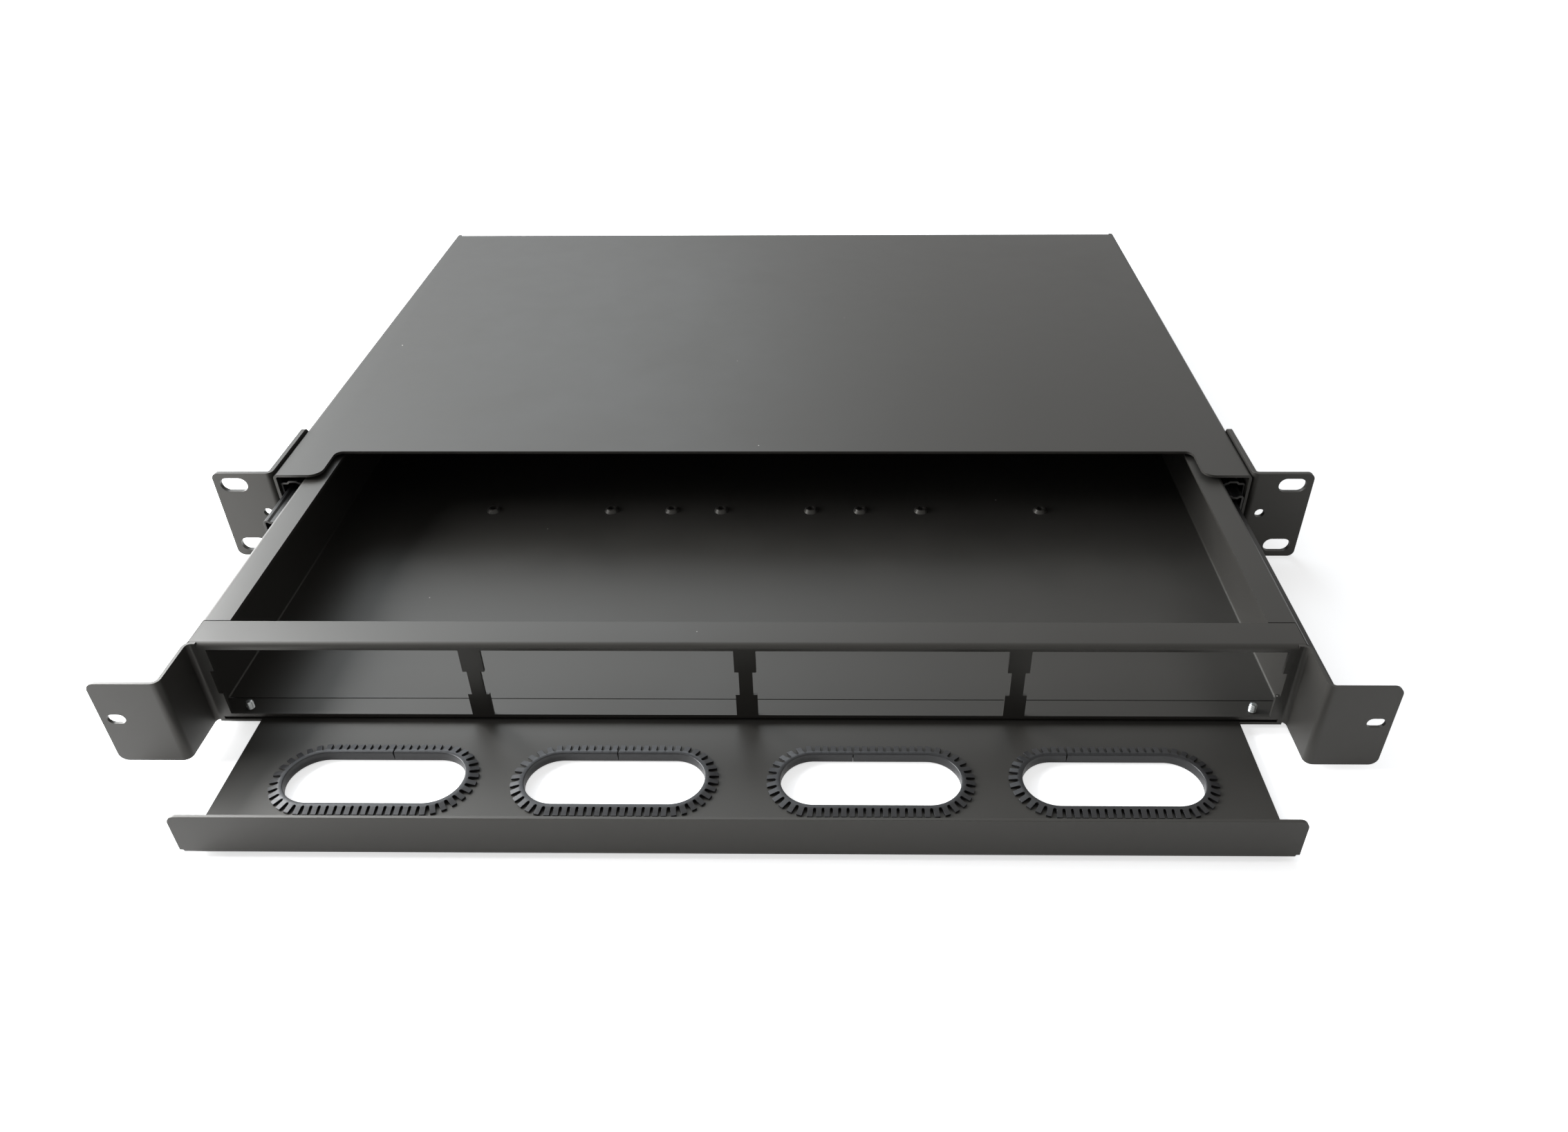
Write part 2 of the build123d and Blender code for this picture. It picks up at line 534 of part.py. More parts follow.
def make_cable_plate():
    """Plate with four long openings, an upturned front lip, and a wide strip under the drawer's front."""
    lip_front = PANEL_Y - PLATE_REACH
    strip_rear = PANEL_Y + PLATE_STRIP_DEPTH
    outer = [
        (strip_rear, PLATE_BOTTOM),
        (lip_front, PLATE_BOTTOM),
        (lip_front, PLATE_BOTTOM + LIP_HEIGHT),
    ]
    plate = along_x(sheet_section(outer, BEND_OUTER), PLATE_HALF_WIDTH)
    plate += block(
        (-PLATE_STRIP_HALF_WIDTH, PLATE_STRIP_HALF_WIDTH),
        (PANEL_Y, strip_rear),
        (PLATE_BOTTOM, PLATE_BOTTOM + SHEET),
    )
    plate += block(
        (-LIP_HALF_WIDTH, LIP_HALF_WIDTH),
        (lip_front, lip_front + SHEET),
        (PLATE_BOTTOM + BEND_OUTER, PLATE_BOTTOM + LIP_HEIGHT),
    )
    corners = plate.edges().filter_by(Axis.Y).group_by(Axis.Z)[-1]
    plate = fillet(corners, LIP_CORNER)
    through_plate = (PLATE_BOTTOM - PAST, PLATE_BOTTOM + SHEET + PAST)
    for side in (-1, 1):
        edge = (PLATE_HALF_WIDTH - LIP_RELIEF, PLATE_HALF_WIDTH + PAST)
        relief_x = tuple(sorted(side * value for value in edge))
        relief_y = (lip_front + BEND_OUTER, lip_front + BEND_OUTER + LIP_RELIEF)
        plate -= block(relief_x, relief_y, through_plate)
    hole_length = CABLE_OPENING_LENGTH + 2 * EDGING_WALL
    hole_width = CABLE_OPENING_WIDTH + 2 * EDGING_WALL
    hole = along_z(SlotOverall(hole_length, hole_width), *through_plate)
    for x in CABLE_OPENING_X:
        plate -= Pos(x, CABLE_OPENING_Y, 0) * hole
    screw_y = PANEL_Y + PLATE_SCREW_BEHIND_PANEL
    shank = SCREW_RADIUS + HOLE_CLEARANCE
    for side in (-1, 1):
        cut = Rot(180, 0, 0) * countersunk(SCREW_HEAD_RADIUS + HOLE_CLEARANCE, shank, PAST)
        plate -= Pos(side * PLATE_SCREW_X, screw_y, PLATE_BOTTOM) * cut
    return plate


def make_plate_screws():
    """Two countersunk screws from below whose tips stand up inside the front panel."""
    length = 2 * SHEET + PLATE_SCREW_TIP
    screw = countersunk(SCREW_HEAD_RADIUS, SCREW_RADIUS, length)
    tip = screw.edges().group_by(Axis.Z)[0]
    screw = Rot(180, 0, 0) * chamfer(tip, PLATE_SCREW_CHAMFER)
    screw_y = PANEL_Y + PLATE_SCREW_BEHIND_PANEL
    return Compound([Pos(side * PLATE_SCREW_X, screw_y, PLATE_BOTTOM) * screw for side in (-1, 1)])


def edging_gap(spread):
    """Gap between two teeth, with +Y outwards from its root. Spread is the half angle that it opens by."""
    reach = 2 * EDGING_TOOTH_LENGTH
    root = EDGING_GAP / 2
    mouth = root + reach * math.tan(spread)
    outline = Polyline((-root, 0), (root, 0), (mouth, reach), (-mouth, reach), close=True)
    return along_z(make_face(outline), PLATE_BOTTOM + SHEET / 2, PLATE_BOTTOM + SHEET + 2 * EDGING_FLANGE)


def edging_gaps(joint_x):
    """Gaps between the teeth, evenly spaced round the opening from the joint of the strip's ends.

    The strip is moulded straight. Its teeth keep their width round the bends, and the gaps open outwards.
    """
    half_straight = (CABLE_OPENING_LENGTH - CABLE_OPENING_WIDTH) / 2
    radius = CABLE_OPENING_WIDTH / 2 + EDGING_WALL
    half_length = 2 * half_straight + math.pi * radius
    count = round(2 * half_length / EDGING_PITCH)
    pitch = 2 * half_length / count
    straight_gap = Pos(0, radius + EDGING_BAND, 0) * edging_gap(0)
    bent_gap = Pos(0, radius + EDGING_BAND, 0) * edging_gap(pitch / 2 / radius)
    gaps = []
    for index in range(count):
        half_turns, along = divmod(half_straight + joint_x + index * pitch, half_length)
        if along < 2 * half_straight:
            gap = Pos(along - half_straight, 0, 0) * straight_gap
        else:
            around = math.degrees((along - 2 * half_straight) / radius)
            gap = Pos(half_straight, 0, 0) * Rot(0, 0, -around) * bent_gap
        gaps.append(Rot(0, 0, 180 * half_turns) * gap)
    return gaps


def make_edging_strip(x, joint_x):
    """Channel round a cable opening: a wall, a flange cut into teeth above the plate, a plain one below."""
    reach = EDGING_WALL + EDGING_BAND + EDGING_TOOTH_LENGTH
    low = PLATE_BOTTOM - EDGING_FLANGE
    plate_top = PLATE_BOTTOM + SHEET
    high = plate_top + EDGING_FLANGE
    outline = SlotOverall(CABLE_OPENING_LENGTH + 2 * reach, CABLE_OPENING_WIDTH + 2 * reach)
    plate_edge = SlotOverall(CABLE_OPENING_LENGTH + 2 * EDGING_WALL, CABLE_OPENING_WIDTH + 2 * EDGING_WALL)
    inside = SlotOverall(CABLE_OPENING_LENGTH, CABLE_OPENING_WIDTH)
    strip = along_z(outline - inside, low, high)
    strip -= along_z(outline - plate_edge, PLATE_BOTTOM, plate_top)
    strip -= edging_gaps(joint_x)
    joint = (joint_x - EDGING_JOINT_GAP / 2, joint_x + EDGING_JOINT_GAP / 2)
    strip -= block(joint, (0, CABLE_OPENING_WIDTH), (low - PAST, high + PAST))
    return Pos(x, CABLE_OPENING_Y, 0) * strip


def channel_section(upper, bend, thickness, turned=1):
    """Section of a channel that is the same above and below mid-height, on the right-hand side.

    Only its square corners are rounded: the shallow ones of the ball tracks are too slight to see.
    """
    points = [(WALL_INNER_X - u, v) for u, v in upper]
    points += [(x, -z) for x, z in reversed(points)]
    around = zip(points, points[1:], points[2:])
    radii = [bend * (a[0] == b[0] or b[0] == c[0]) for a, b, c in around]
    return sheet_section(points, radii, turned, thickness)


def make_slide_outer():
    """Fixed member on the right-hand side wall, with a raised ball track in each flange."""
    section = channel_section(OUTER_MEMBER, SLIDE_BEND, SLIDE_SHEET)
    member = along_y(section, OUTER_START, OUTER_START + OUTER_LENGTH)
    hole = RIVET_RADIUS + HOLE_CLEARANCE
    for y in HOUSING_RIVET_Y:
        member -= rod("x", hole, WALL_INNER_X - PAST, WALL_INNER_X + PAST, y, 0, FASTENER_SIDES)
    return member


def make_slide_middle(start):
    """Middle member on the right, with a sunken ball track in each flange and access holes in its web."""
    section = channel_section(MIDDLE_MEMBER, SLIDE_BEND, SLIDE_SHEET)
    member = along_y(section, start, start + MIDDLE_LENGTH)
    web_x = WALL_INNER_X - MIDDLE_MEMBER[-1][0]
    for along in ACCESS_HOLE_PLACES:
        y = start + along * MIDDLE_LENGTH
        member -= rod("x", ACCESS_HOLE_RADIUS, web_x - PAST, web_x + PAST, y, 0, ACCESS_HOLE_SIDES)
    return member


def make_slide_inner():
    """Member on the right-hand side of the drawer, open towards the housing."""
    section = channel_section(INNER_MEMBER, SLIDE_BEND, SLIDE_SHEET, turned=-1)
    member = along_y(section, INNER_START, INNER_START + INNER_LENGTH)
    hole = RIVET_RADIUS + HOLE_CLEARANCE
    for y in DRAWER_RIVET_Y:
        member -= rod("x", hole, DRAWER_X - PAST, DRAWER_X + PAST, y, 0, FASTENER_SIDES)
    return member


def ball_places(start, length, v):
    """Centres of one cage's balls on the right: two rows, above and below mid-height."""
    step = length / BALLS_IN_A_ROW
    x = WALL_INNER_X - TRACK_U
    return [(x, start + (index + 0.5) * step, z) for index in range(BALLS_IN_A_ROW) for z in (-v, v)]


def make_ball_cage(upper, start, length, v, ball_radius):
    """Thin channel on the right with a square window for each ball."""
    cage = along_y(channel_section(upper, CAGE_BEND, CAGE_SHEET), start, start + length)
    size = 2 * (ball_radius + CAGE_WINDOW_CLEARANCE)
    for place in ball_places(start, length, v):
        cage -= Pos(*place) * Box(size, size, PAST)
    return cage


def ball(radius):
    """Ball with 26 flats, which keeps the many balls light. Each flat is a ball's radius from its centre."""
    cube = Box(2 * radius, 2 * radius, 2 * radius)
    body = cube & Rot(45, 0, 0) * cube & Rot(0, 45, 0) * cube & Rot(0, 0, 45) * cube
    tilt = math.degrees(math.atan(math.sqrt(2)))
    for turn in (45, 135, 225, 315):
        body &= Rot(0, 0, turn) * Rot(0, tilt, 0) * Box(4 * radius, 4 * radius, 2 * radius)
    return body


def make_balls(start, length, v, ball_radius):
    """One cage's balls on the right."""
    return Compound([Pos(*place) * ball(ball_radius) for place in ball_places(start, length, v)])


def make_housing_rivets():
    """Four rivets from outside the side walls into the slides' outer members, flush inside them."""
    right = Rot(0, 90, 0) * rivet(SHEET + SLIDE_SHEET)
    rivets = [Pos(WALL_OUTER_X, y, 0) * right for y in HOUSING_RIVET_Y]
    return Compound(rivets + [other_hand(one) for one in rivets])


def make_drawer_rivets():
    """Four rivets from inside the slides' inner members into the drawer's sides, flush in the drawer."""
    right = Rot(0, 90, 0) * rivet(SHEET + SLIDE_SHEET)
    rivets = [Pos(DRAWER_X + SLIDE_SHEET, y, 0) * right for y in DRAWER_RIVET_Y]
    return Compound(rivets + [other_hand(one) for one in rivets])


def write(shape, node):
    """Write one node's file."""
    export_step(shape, f"parts/{node}.step")


def main():
    """Make every piece and write it under its node's name."""
    os.makedirs("parts", exist_ok=True)
    write(make_top_cover(), "top_cover")
    write(make_base_pan(), "base_pan")
    ear = make_rack_ear()
    write(ear, "rack_ear_right")
    write(other_hand(ear), "rack_ear_left")
    write(make_ear_screws(), "ear_screws")
    write(make_base_screws(), "base_screws")
    write(make_rear_screws(), "rear_screws")
    for number, x in enumerate(ENTRY_X, 1):
        write(make_cable_grommet(x), f"cable_grommet_{number}")
    write(make_housing_rivets(), "housing_rivets")

    write(make_drawer_tray(), "drawer_tray")
    write(make_front_panel(), "front_panel")
    write(make_cable_plate(), "cable_plate")
    write(make_plate_screws(), "plate_screws")
    for number, (x, joint_x) in enumerate(zip(CABLE_OPENING_X, EDGING_JOINT_X), 1):
        write(make_edging_strip(x, joint_x), f"edging_strip_{number}")
    write(make_drawer_rivets(), "drawer_rivets")

    outer = make_slide_outer()
    inner = make_slide_inner()
    write(outer, "slide_outer_right")
    write(other_hand(outer), "slide_outer_left")
    write(inner, "slide_inner_right")
    write(other_hand(inner), "slide_inner_left")
    write(make_slide_middle(MIDDLE_START_RIGHT), "slide_middle_right")
    write(other_hand(make_slide_middle(MIDDLE_START_LEFT)), "slide_middle_left")
    cages = (
        ("outer", OUTER_CAGE, OUTER_CAGE_START, OUTER_CAGE_LENGTH, OUTER_BALL_V, OUTER_BALL_RADIUS),
        ("inner", INNER_CAGE, INNER_CAGE_START, INNER_CAGE_LENGTH, INNER_BALL_V, INNER_BALL_RADIUS),
    )
    for name, upper, start, length, v, radius in cages:
        cage = make_ball_cage(upper, start, length, v, radius)
        balls = make_balls(start, length, v, radius)
        write(cage, f"ball_cage_{name}_right")
        write(other_hand(cage), f"ball_cage_{name}_left")
        write(balls, f"balls_{name}_right")
        write(other_hand(balls), f"balls_{name}_left")


main()
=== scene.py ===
"""The looks of the sliding fibre patch panel: finishes, sheet edges, edging, screws, balls, light and camera.

Metres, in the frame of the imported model: X to the right, Y to the rear and Z up.
"""
import json
import math

import bmesh
import bpy
import numpy as np
from mathutils import Matrix, Vector

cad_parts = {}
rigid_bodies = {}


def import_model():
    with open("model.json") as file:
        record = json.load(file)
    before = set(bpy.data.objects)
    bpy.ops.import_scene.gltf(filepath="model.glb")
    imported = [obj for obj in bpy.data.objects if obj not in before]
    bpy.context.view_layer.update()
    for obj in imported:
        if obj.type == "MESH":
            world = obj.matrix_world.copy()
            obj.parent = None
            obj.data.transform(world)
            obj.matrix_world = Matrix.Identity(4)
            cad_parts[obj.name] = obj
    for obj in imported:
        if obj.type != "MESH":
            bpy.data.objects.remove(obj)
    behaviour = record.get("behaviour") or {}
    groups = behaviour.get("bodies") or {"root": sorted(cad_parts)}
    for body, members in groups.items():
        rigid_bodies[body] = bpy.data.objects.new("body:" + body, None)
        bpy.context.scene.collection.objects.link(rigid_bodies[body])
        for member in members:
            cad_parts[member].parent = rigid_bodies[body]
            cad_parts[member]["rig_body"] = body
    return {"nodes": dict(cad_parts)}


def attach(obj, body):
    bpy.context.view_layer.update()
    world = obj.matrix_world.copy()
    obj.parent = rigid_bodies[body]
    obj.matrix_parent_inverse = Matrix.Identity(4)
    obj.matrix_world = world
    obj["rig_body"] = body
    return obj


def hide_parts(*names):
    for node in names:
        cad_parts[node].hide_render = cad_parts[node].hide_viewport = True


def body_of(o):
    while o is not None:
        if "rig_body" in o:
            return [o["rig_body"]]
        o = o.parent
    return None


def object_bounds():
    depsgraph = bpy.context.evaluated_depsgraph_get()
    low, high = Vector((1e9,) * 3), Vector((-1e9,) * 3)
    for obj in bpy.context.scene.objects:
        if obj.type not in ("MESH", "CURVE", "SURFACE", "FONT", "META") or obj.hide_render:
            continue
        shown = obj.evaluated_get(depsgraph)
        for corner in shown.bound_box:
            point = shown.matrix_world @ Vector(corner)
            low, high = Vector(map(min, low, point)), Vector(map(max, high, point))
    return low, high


MM = 0.001
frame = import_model()
cad_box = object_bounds()

# Image that the camera was fitted to, and the fitted camera: lengths in mm, angles in radians, image in pixels
IMAGE_WIDTH = 2268
IMAGE_HEIGHT = 1637
FOCAL_PIXELS = 1645.6
CENTRE_PIXEL = (1181.74, 784.01)
CAMERA_PLACE_MM = (31.545, -425.325, 281.286)
CAMERA_PITCH = 0.6098
CAMERA_YAW = 0.0160
CAMERA_ROLL = 0.0080
SENSOR_WIDTH_MM = 36.0

# Sign of X and name of each side
SIDES = ((-1, "left"), (1, "right"))

# Sizes from the model's own source, in mm
SHEET = 1.2
SLIDE_SHEET = 1.0
EAR_SHEET = 2.0
PLATE_BOTTOM = -20.1
HOUSING_BOTTOM = -21.6
HOUSING_REAR = 298.5
WALL_OUTER_X = 214.4
WALL_INNER_X = 213.2
DRAWER_X = 202.3
OPENING_X = (-131.0, -45.4, 45.4, 131.0)
OPENING_Y = -143.6
OPENING_LENGTH = 64.0
OPENING_WIDTH = 23.8
EDGING_WALL = 0.8
EDGING_FLANGE = 1.4
EDGING_BAND = 0.7
EDGING_TOOTH_LENGTH = 3.4
EDGING_TEETH = 56
EDGING_GAP = 1.05
EDGING_JOINT_X = (3.0, -0.7, -6.1, -14.5)
EAR_SCREW_Y = 22.0
EAR_SCREW_Z = (-12.0, 12.0)
BASE_SCREW_X = WALL_INNER_X - 5.0
BASE_SCREW_Y = (52.0, 250.0)
REAR_SCREW_X = 110.0
REAR_SCREW_Z = 15.2
PLATE_SCREW_X = 190.1
PLATE_SCREW_Y = -107.8
RIVET_HEAD_RADIUS = 3.4
RIVET_HEAD_HEIGHT = 1.2
RIVET_SHANK_RADIUS = 1.85
HOUSING_RIVET_Y = (66.0, 222.0)
DRAWER_RIVET_Y = (-90.0, 92.0)
BALL_X = WALL_INNER_X - 5.6
BALLS_IN_ROW = 3
GROMMET_X = (-165.0, 165.0)
GROMMET_Y = HOUSING_REAR - 1.5 * SHEET
GROMMET_Z = -3.0
GROMMET_HALF_WIDTH = 3.0
GROMMET_BORE_RADIUS = 8.0
GROMMET_HOLE_RADIUS = 11.0
GROMMET_RIM_RADIUS = 13.0

# Head radius, shank radius, length and thread pitch. The source's plate screws are 0.8 mm longer.
SCREW_SIZES = {
    "ear_screws": (3.8, 2.0, 3.2, 0.7),
    "base_screws": (2.7, 1.5, 2 * SHEET, 0.5),
    "rear_screws": (2.7, 1.5, 3.9, 0.5),
    "plate_screws": (2.7, 1.5, 5.6, 0.5),
}

# Start and length of a slide's ball rows, their height over and under its middle, and the balls' radius
BALL_SIZES = {
    "outer": (30.0, 70.0, 13.55, 1.75),
    "inner": (25.0, 60.0, 9.55, 1.05),
}

# Small forms that the source leaves out, in mm and degrees. Screw heads and rivet ends lie just below the face.
PANEL_ROUNDING = 0.25
EAR_ROUNDING = 0.09
SLIDE_ROUNDING = 0.15
EDGING_ROUNDING = 0.07
RIVET_ROUNDING = 0.1
GROMMET_ROUNDING = 0.1
GROMMET_BORE_CORNER = 0.6
GROMMET_RIM_CORNER = 1.1
EDGING_RIM = 0.35
EDGING_SLOPE = 12.0
THREAD_DEPTH = 0.28
THREAD_CHAMFER = 0.45
BELOW_FACE = 0.04
HEAD_RIM_WIDTH = 0.1
HEAD_RIM_DROP = 0.08
RECESS_DEPTH = 0.9
RECESS_WALL = 0.12
RECESS_END = 0.3

# Gap at the top of an edging strip's joint in mm, as wide as the photograph shows it, where the source has 0.35,
# and how far each cut end leans into it below, so that the joint looks dark
EDGING_JOINT_GAP = 0.5
EDGING_JOINT_CLOSING = 0.21

# Half width and half length of a screw's cross recess, as shares of its head's radius
RECESS_HALF_WIDTH = 0.17
RECESS_HALF_LENGTH = 0.6

# Where the edging's wall stands on the plate: half the straight run, the bend's radius, half the way round and
# the teeth's pitch, in mm
EDGE_HALF_RUN = (OPENING_LENGTH - OPENING_WIDTH) / 2
EDGE_RADIUS = OPENING_WIDTH / 2 + EDGING_WALL
EDGE_HALF_LENGTH = 2 * EDGE_HALF_RUN + math.pi * EDGE_RADIUS
EDGING_PITCH = 2 * EDGE_HALF_LENGTH / EDGING_TEETH

# Angles in degrees at which a gap's round end and the rim's quarter round have points
GAP_ANGLES = (0.0, 19.0, 45.0, 67.5, 90.0)
RIM_ANGLES = (0.0, 30.0, 60.0, 90.0)

# Flat sides of a screw in the source, and points round and along the turned pieces here
SOURCE_SCREW_SIDES = 8
ROUND_SIDES = 48
BALL_SIDES = 32
BALL_RINGS = 17
GROMMET_SIDES = 72
CORNER_POINTS = 6
RIVET_RINGS = 12
HEAD_RINGS = 26
RINGS_IN_PITCH = 8

# Edges that are rounded and faces that are joined, by angle in degrees, and points that are merged, in mm
SHEET_SHARP_ANGLE = 30.0
PIECE_SHARP_ANGLE = 40.0
FLAT_ANGLE = 0.5
SOURCE_MERGE = 0.002
PIECE_MERGE = 0.0005

# Values between which a noise pattern mostly lies
NOISE_LOW = 0.3
NOISE_HIGH = 0.7

# Sizes of the finishes' patterns in mm, and the dust's colour
GLOSS_PATCH = 45.0
GRAIN_HEIGHT = 0.05
SKIN_HEIGHT = 0.1
DUST_SPACING = 14.0
DUST_COLOUR = "#8f8d88"

# Radius of a dust speck and the cells left clean, as shares, and the least height of an upward normal
DUST_RADIUS = 0.022
DUST_CLEAN = 0.72
DUST_LEVEL = 0.7

# Floor: its gap under the ears in mm, its half width in metres and its paint
FLOOR_GAP = 0.2
FLOOR_HALF = 5.0
FLOOR_PAINT = (0.82, 0.82, 0.82, 1)


# Small tools

def linear(text):
    """Colour written as sRGB hex, turned to linear light, with full alpha."""
    values = [int(text[i:i + 2], 16) / 255 for i in (1, 3, 5)]
    return tuple(v / 12.92 if v <= 0.04045 else ((v + 0.055) / 1.055) ** 2.4 for v in values) + (1.0,)


def per_mm(size):
    """Scale of a pattern in metres whose features are this many millimetres across."""
    return 1 / (size * MM)


def add(tree, kind, links=None, **settings):
    """Adds a node with its settings and links.

    A setting is the name of a property, or of an input with its spaces as underscores, or i and an input's number.
    A link is an input's name or number with the socket that feeds it. A Mix node's colours are inputs 6 and 7.
    """
    node = tree.nodes.new(kind)
    for name, value in settings.items():
        if hasattr(node, name):
            setattr(node, name, value)
        else:
            node.inputs[int(name[1:]) if name[1:].isdigit() else name.replace("_", " ")].default_value = value
    for name, socket in (links or {}).items():
        tree.links.new(socket, node.inputs[name])
    return node


def new_object(name, data):
    """A new object in the scene, at the origin."""
    thing = bpy.data.objects.new(name, data)
    bpy.context.scene.collection.objects.link(thing)
    return thing


def new_material(name):
    """An empty material with its node tree and output."""
    material = bpy.data.materials.new(name)
    material.use_nodes = True
    tree = material.node_tree
    tree.nodes.clear()
    return material, tree, tree.nodes.new("ShaderNodeOutputMaterial")


# Finishes

def coated_steel(name, colour, roughness, grain, dust):
    """Painted steel: a satin film with a very fine orange-peel grain, faintly uneven gloss, and dust on top faces.

    The film is a polymer with black pigment. Its IOR is 1.46 and its gloss slightly warm, as matched to the
    photograph. Real grain is about 0.1 mm. It is drawn at the size given in mm, so that it shows.
    """
    material, tree, output = new_material(name)
    place = add(tree, "ShaderNodeTexCoord").outputs["Object"]
    patches = add(tree, "ShaderNodeTexNoise", {"Vector": place}, Scale=per_mm(GLOSS_PATCH), Detail=3.0,
                  Roughness=0.6)
    gloss = add(tree, "ShaderNodeMapRange", {"Value": patches.outputs[0]}, From_Min=NOISE_LOW,
                From_Max=NOISE_HIGH, To_Min=roughness - 0.03, To_Max=roughness + 0.03)
    grains = add(tree, "ShaderNodeTexNoise", {"Vector": place}, Scale=per_mm(grain), Detail=2.0, Roughness=0.5)
    bump = add(tree, "ShaderNodeBump", {"Height": grains.outputs[0]}, Strength=0.12,
               Distance=GRAIN_HEIGHT * MM)
    shader = add(tree, "ShaderNodeBsdfPrincipled", {"Roughness": gloss.outputs[0], "Normal": bump.outputs[0]},
                 IOR=1.46, Specular_Tint=(1.0, 0.97, 0.90, 1.0))
    shade = add(tree, "ShaderNodeMapRange", {"Value": patches.outputs[0]}, From_Min=0.25, From_Max=0.75,
                To_Min=0.9, To_Max=1.1)
    tint = add(tree, "ShaderNodeMix", {0: shade.outputs[0]}, data_type="RGBA", clamp_factor=False,
               i6=(0, 0, 0, 1), i7=linear(colour))
    colour_socket = tint.outputs[2]
    if dust:
        specks = add(tree, "ShaderNodeTexVoronoi", {"Vector": place}, Scale=per_mm(DUST_SPACING))
        near = add(tree, "ShaderNodeMath", {0: specks.outputs["Distance"]}, operation="LESS_THAN", i1=DUST_RADIUS)
        few = add(tree, "ShaderNodeSeparateColor", {0: specks.outputs["Color"]})
        some = add(tree, "ShaderNodeMath", {0: few.outputs[0]}, operation="GREATER_THAN", i1=DUST_CLEAN)
        level = add(tree, "ShaderNodeSeparateXYZ", {0: add(tree, "ShaderNodeNewGeometry").outputs["Normal"]})
        flat = add(tree, "ShaderNodeMath", {0: level.outputs[2]}, operation="GREATER_THAN", i1=DUST_LEVEL)
        both = add(tree, "ShaderNodeMath", {0: near.outputs[0], 1: some.outputs[0]}, operation="MULTIPLY")
        lying = add(tree, "ShaderNodeMath", {0: both.outputs[0], 1: flat.outputs[0]}, operation="MULTIPLY")
        dusty = add(tree, "ShaderNodeMix", {0: lying.outputs[0], 6: colour_socket}, data_type="RGBA",
                    i7=linear(DUST_COLOUR))
        colour_socket = dusty.outputs[2]
    tree.links.new(colour_socket, shader.inputs["Base Color"])
    tree.links.new(shader.outputs[0], output.inputs[0])
    return material


def bare_metal(name, colour, roughness, streak):
    """Plated or polished steel: a metal, with fine streaks of uneven gloss of the size given in mm."""
    material, tree, output = new_material(name)
    place = add(tree, "ShaderNodeTexCoord").outputs["Object"]
    streaks = add(tree, "ShaderNodeTexNoise", {"Vector": place}, Scale=per_mm(streak), Detail=3.0)
    gloss = add(tree, "ShaderNodeMapRange", {"Value": streaks.outputs[0]}, From_Min=NOISE_LOW,
                From_Max=NOISE_HIGH, To_Min=roughness * 0.75, To_Max=roughness * 1.25)
    shade = add(tree, "ShaderNodeMix", {0: streaks.outputs[0]}, data_type="RGBA",
                i6=linear(colour[0]), i7=linear(colour[1]))
    shader = add(tree, "ShaderNodeBsdfPrincipled", {"Roughness": gloss.outputs[0], "Base Color": shade.outputs[2]},
                 Metallic=1.0)
    tree.links.new(shader.outputs[0], output.inputs[0])
    return material


def moulded(name, colour, roughness, grain, strength):
    """Moulded black plastic or rubber: an even colour, with a soft skin texture of the size given in mm."""
    material, tree, output = new_material(name)
    place = add(tree, "ShaderNodeTexCoord").outputs["Object"]
    grains = add(tree, "ShaderNodeTexNoise", {"Vector": place}, Scale=per_mm(grain), Detail=2.0)
    gloss = add(tree, "ShaderNodeMapRange", {"Value": grains.outputs[0]}, From_Min=NOISE_LOW,
                From_Max=NOISE_HIGH, To_Min=roughness - 0.05, To_Max=roughness + 0.05)
    bump = add(tree, "ShaderNodeBump", {"Height": grains.outputs[0]}, Strength=strength, Distance=SKIN_HEIGHT * MM)
    shader = add(tree, "ShaderNodeBsdfPrincipled", {"Roughness": gloss.outputs[0], "Normal": bump.outputs[0]},
                 Base_Color=linear(colour), IOR=1.5)
    tree.links.new(shader.outputs[0], output.inputs[0])
    return material


# Powder sprayed on sheet steel and baked: broad soft highlights and a fine skin
powder_coat = coated_steel("satin_black_powder_coat", "#242321", 0.46, 0.5, True)

# Paint laid on rolled slide members in an electric bath: thin, even and a little glossier
slide_coat = coated_steel("black_electrocoated_steel", "#19191a", 0.34, 0.4, False)

# Zinc plated on small turned and headed parts: pale grey, softly bright, with fine streaks
zinc = bare_metal("bright_zinc_plate", ("#9a9d9c", "#c6c9c8"), 0.32, 0.8)

# Zinc-plated strip punched into ball cages: duller, with longer streaks from rolling
strip_steel = bare_metal("zinc_plated_strip", ("#a9aba7", "#c2c4c0"), 0.34, 1.5)

# Ground and lapped bearing balls: nearly a mirror
bearing_steel = bare_metal("polished_bearing_steel", ("#c4c4c4", "#d0d0d0"), 0.12, 1.0)

# Injection-moulded nylon: a satin skin, clear highlights on its edges
nylon = moulded("black_moulded_nylon", "#171718", 0.36, 1.2, 0.10)

# Compression-moulded rubber: dull, with a soft grain
rubber = moulded("black_moulded_rubber", "#171717", 0.62, 0.6, 0.25)


# Pieces

def body_of_node(node):
    """Name of the body that carries a CAD node."""
    return body_of(frame["nodes"][node])[0]


def place_piece(piece, node, material):
    """A piece that stands for a CAD node takes its finish and its body, and the node is hidden."""
    piece.data.materials.clear()
    piece.data.materials.append(material)
    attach(piece, body_of_node(node))
    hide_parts(node)


def soften(piece, radius, segments=1, sharp_angle=PIECE_SHARP_ANGLE):
    """Rounds the piece's sharp edges to a radius in mm, with as many flats as it is given segments."""
    bevel = piece.modifiers.new("rounded_edges", "BEVEL")
    bevel.width = radius * MM
    bevel.segments = segments
    bevel.limit_method = "ANGLE"
    bevel.angle_limit = math.radians(sharp_angle)
    bevel.harden_normals = True


